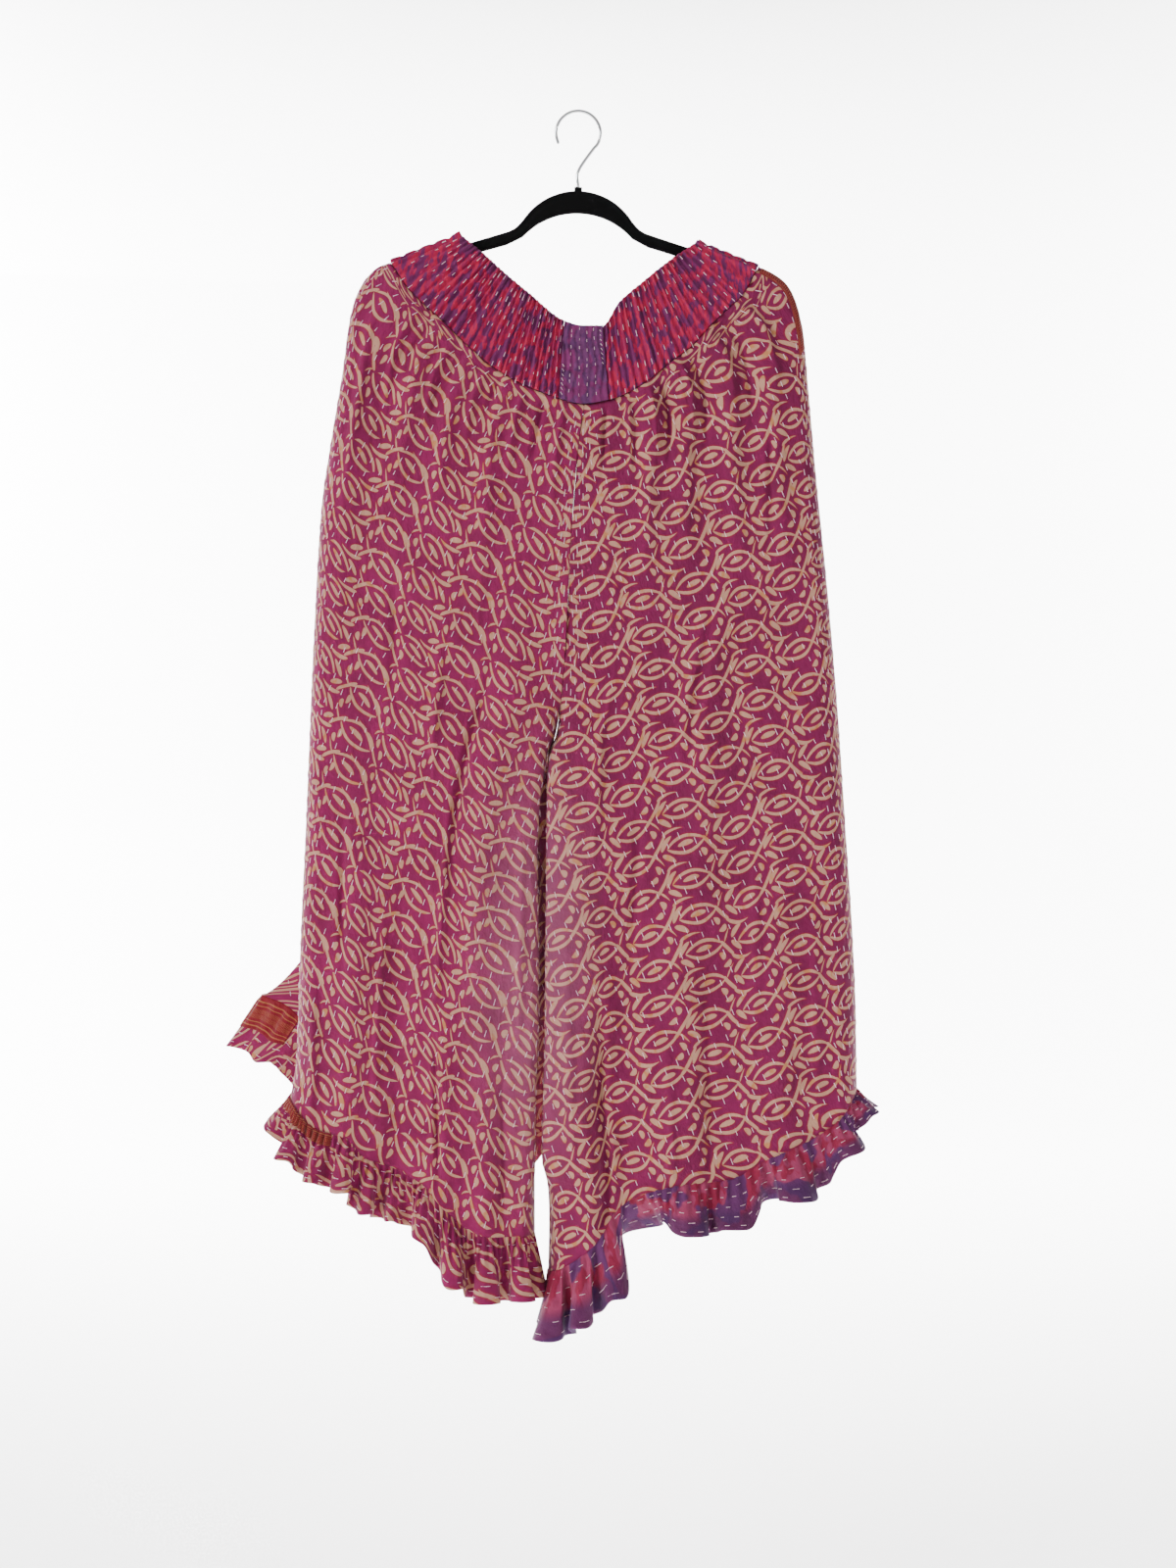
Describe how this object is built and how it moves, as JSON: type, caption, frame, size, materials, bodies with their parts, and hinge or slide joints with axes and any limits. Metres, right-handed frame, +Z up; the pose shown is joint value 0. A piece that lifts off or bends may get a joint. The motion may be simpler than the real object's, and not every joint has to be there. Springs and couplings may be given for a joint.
{
  "type": "ruffle capri pants on a hanger",
  "caption": "Wide-leg cotton capri pants with a shirred waistband and ruffled hems, hung by the waist over a flat velvet hanger.",
  "frame": {"origin": "the inner top of the hanger's hook, where a rail carries it", "axes": "+X to the viewer's right, +Y away from the viewer towards the garment's back, +Z up"},
  "size_m": [0.6688, 0.1554, 1.2514],
  "materials": {
    "velvet": "black flocked velvet over moulded plastic",
    "hook_steel": "polished plated steel wire",
    "band_cotton": "shirred cotton with a blotchy red-pink and purple print and running stitch",
    "insert_cotton": "purple printed cotton with running stitch",
    "leg_cotton": "quilted cotton with a tan leaf print on magenta and running stitch",
    "ruffle_cotton": "gathered cotton in pink, red and purple with running stitch",
    "border_cotton": "woven red border with thin gold lines"
  },
  "bodies": {
    "root": {"hanger_frame": "velvet", "hanger_hook": "hook_steel", "waistband_front_left": "band_cotton", "waistband_front_right": "band_cotton", "waistband_back": "band_cotton", "waistband_front_insert": "insert_cotton", "leg_left_front": "leg_cotton", "leg_left_back": "leg_cotton", "leg_right_front": "leg_cotton", "leg_right_back": "leg_cotton", "ruffle_left_front": "leg_cotton", "ruffle_left_back": "leg_cotton", "ruffle_right_front": "ruffle_cotton", "ruffle_right_back": "ruffle_cotton", "border_side_right": "border_cotton", "border_hem_left": "border_cotton", "border_lobe_left": "border_cotton"}
  },
  "joints": []
}
